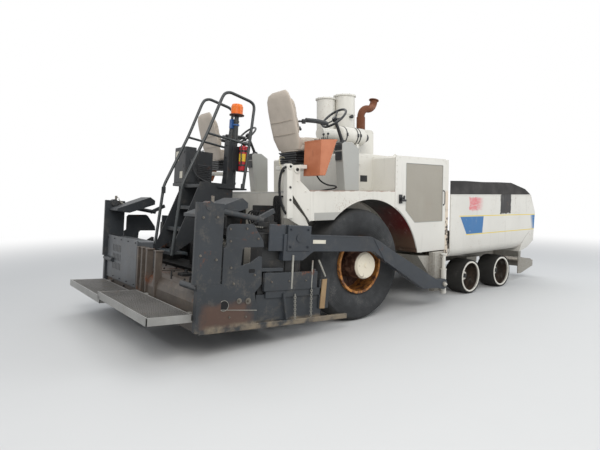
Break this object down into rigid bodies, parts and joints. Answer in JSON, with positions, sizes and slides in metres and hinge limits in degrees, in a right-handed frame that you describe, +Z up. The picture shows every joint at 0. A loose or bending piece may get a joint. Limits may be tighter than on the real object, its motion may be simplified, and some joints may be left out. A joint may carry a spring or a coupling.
{
  "type": "asphalt paver",
  "caption": "Wheeled asphalt paver with folding hopper wings, steered bogies, slat conveyor, augers and a raised extending screed with stairs, walkways and end gates.",
  "frame": {"origin": "on the ground, below the centre of the bounding box", "axes": "+X forward towards the push rollers, +Y to the machine's left, +Z up"},
  "size_m": [7.9028, 3, 3.0993],
  "materials": {
    "white_paint": "semi-gloss, weathered",
    "engine": "matt",
    "deck_steel": "weathered",
    "grey_paint": "satin",
    "rusty_steel": "rusted",
    "seat_vinyl": "matt, stained",
    "terracotta_plastic": "faded",
    "black_plastic": "matt",
    "worn_steel": "scraped and dirty",
    "black_paint": "satin",
    "tyre_rubber": "matt",
    "slate_paint": "satin, worn",
    "amber_plastic": "glossy",
    "red_paint": "gloss"
  },
  "bodies": {
    "tractor": {"main_frame": "white_paint", "engine_block": "engine", "hood": "white_paint", "fenders": "white_paint", "cabinets": "white_paint", "deck": "deck_steel", "dash_console": "grey_paint", "air_cleaner": "white_paint", "stack_duct": "white_paint", "exhaust": "rusty_steel", "pedestals": "white_paint", "seats": "seat_vinyl", "consoles": "terracotta_plastic", "steering_wheels": "black_plastic", "hopper_floor": "worn_steel", "conveyor": "worn_steel", "drive_axle": "black_paint", "push_bar": "worn_steel", "tow_points": "black_paint"},
    "door_right": {"door_right": "white_paint"},
    "door_left": {"door_left": "white_paint"},
    "wing_right": {"hopper_wing_right": "white_paint"},
    "wing_left": {"hopper_wing_left": "white_paint"},
    "drive_wheel_right": {"drive_rim_right": "rusty_steel", "drive_tyre_right": "tyre_rubber"},
    "drive_wheel_left": {"drive_rim_left": "rusty_steel", "drive_tyre_left": "tyre_rubber"},
    "bogie_right": {"bogie_beam_right": "black_paint"},
    "bogie_left": {"bogie_beam_left": "black_paint"},
    "bogie_wheel_rr": {"bogie_rim_rr": "white_paint", "bogie_tyre_rr": "tyre_rubber"},
    "bogie_wheel_rf": {"bogie_rim_rf": "white_paint", "bogie_tyre_rf": "tyre_rubber"},
    "bogie_wheel_lr": {"bogie_rim_lr": "white_paint", "bogie_tyre_lr": "tyre_rubber"},
    "bogie_wheel_lf": {"bogie_rim_lf": "white_paint", "bogie_tyre_lf": "tyre_rubber"},
    "roller_right": {"push_roller_right": "worn_steel"},
    "roller_left": {"push_roller_left": "worn_steel"},
    "screed": {"tow_arms": "slate_paint", "screed_main": "slate_paint", "stairs": "slate_paint", "beacon": "amber_plastic", "extinguisher": "red_paint", "control_boxes": "black_paint"},
    "screed_extension_right": {"extension_right": "slate_paint", "end_gate_right": "slate_paint", "walkway_right": "deck_steel"},
    "screed_extension_left": {"extension_left": "slate_paint", "end_gate_left": "slate_paint", "walkway_left": "deck_steel"},
    "auger_right": {"auger_right": "worn_steel"},
    "auger_left": {"auger_left": "worn_steel"}
  },
  "joints": [
    {"name": "door_right_hinge", "type": "hinge", "parent": "tractor", "child": "door_right", "pos_m": [-0.4586, -1.29, 1.47], "axis": [0, 0, -1], "range_deg": [0, 100]},
    {"name": "door_left_hinge", "type": "hinge", "parent": "tractor", "child": "door_left", "pos_m": [-0.4586, 1.29, 1.47], "axis": [0, 0, 1], "range_deg": [0, 100]},
    {"name": "wing_right_hinge", "type": "hinge", "parent": "tractor", "child": "wing_right", "pos_m": [1.9114, -0.64, 0.64], "axis": [-1, 0, 0], "range_deg": [0, 55]},
    {"name": "wing_left_hinge", "type": "hinge", "parent": "tractor", "child": "wing_left", "pos_m": [1.9114, 0.64, 0.64], "axis": [1, 0, 0], "range_deg": [0, 55]},
    {"name": "drive_right_spin", "type": "hinge", "parent": "tractor", "child": "drive_wheel_right", "pos_m": [-1.0886, -1.07, 0.72], "axis": [0, 1, 0], "continuous": true},
    {"name": "drive_left_spin", "type": "hinge", "parent": "tractor", "child": "drive_wheel_left", "pos_m": [-1.0886, 1.07, 0.72], "axis": [0, 1, 0], "continuous": true},
    {"name": "bogie_left_steer", "type": "hinge", "parent": "tractor", "child": "bogie_left", "pos_m": [2.0294, 0.795, 0.495], "axis": [0, 0, 1], "range_deg": [-18, 18]},
    {"name": "bogie_right_steer", "type": "hinge", "parent": "tractor", "child": "bogie_right", "pos_m": [2.0294, -0.795, 0.495], "axis": [0, 0, 1], "range_deg": [-18, 18]},
    {"name": "bogie_wheel_rr_spin", "type": "hinge", "parent": "bogie_right", "child": "bogie_wheel_rr", "pos_m": [1.5544, -1.035, 0.28], "axis": [0, 1, 0], "continuous": true},
    {"name": "bogie_wheel_rf_spin", "type": "hinge", "parent": "bogie_right", "child": "bogie_wheel_rf", "pos_m": [2.5044, -1.035, 0.28], "axis": [0, 1, 0], "continuous": true},
    {"name": "bogie_wheel_lr_spin", "type": "hinge", "parent": "bogie_left", "child": "bogie_wheel_lr", "pos_m": [1.5544, 1.035, 0.28], "axis": [0, 1, 0], "continuous": true},
    {"name": "bogie_wheel_lf_spin", "type": "hinge", "parent": "bogie_left", "child": "bogie_wheel_lf", "pos_m": [2.5044, 1.035, 0.28], "axis": [0, 1, 0], "continuous": true},
    {"name": "roller_right_spin", "type": "hinge", "parent": "tractor", "child": "roller_right", "pos_m": [3.8614, -0.655, 0.285], "axis": [0, 1, 0], "continuous": true},
    {"name": "roller_left_spin", "type": "hinge", "parent": "tractor", "child": "roller_left", "pos_m": [3.8614, 0.655, 0.285], "axis": [0, 1, 0], "continuous": true},
    {"name": "screed_lift", "type": "hinge", "parent": "tractor", "child": "screed", "pos_m": [0.4114, 0, 0.33], "axis": [0, 1, 0], "range_deg": [-4, 1.5]},
    {"name": "extension_right_slide", "type": "slide", "parent": "screed", "child": "screed_extension_right", "axis": [0, -1, 0], "range_m": [0, 0.95]},
    {"name": "extension_left_slide", "type": "slide", "parent": "screed", "child": "screed_extension_left", "axis": [0, 1, 0], "range_m": [0, 0.95]},
    {"name": "auger_right_spin", "type": "hinge", "parent": "tractor", "child": "auger_right", "pos_m": [-2.0886, -0.7, 0.33], "axis": [0, 1, 0], "continuous": true},
    {"name": "auger_left_spin", "type": "hinge", "parent": "tractor", "child": "auger_left", "pos_m": [-2.0886, 0.7, 0.33], "axis": [0, 1, 0], "continuous": true}
  ],
  "couplings": [
    {"joint": "bogie_right_steer", "follows": "bogie_left_steer", "ratio": 1}
  ]
}
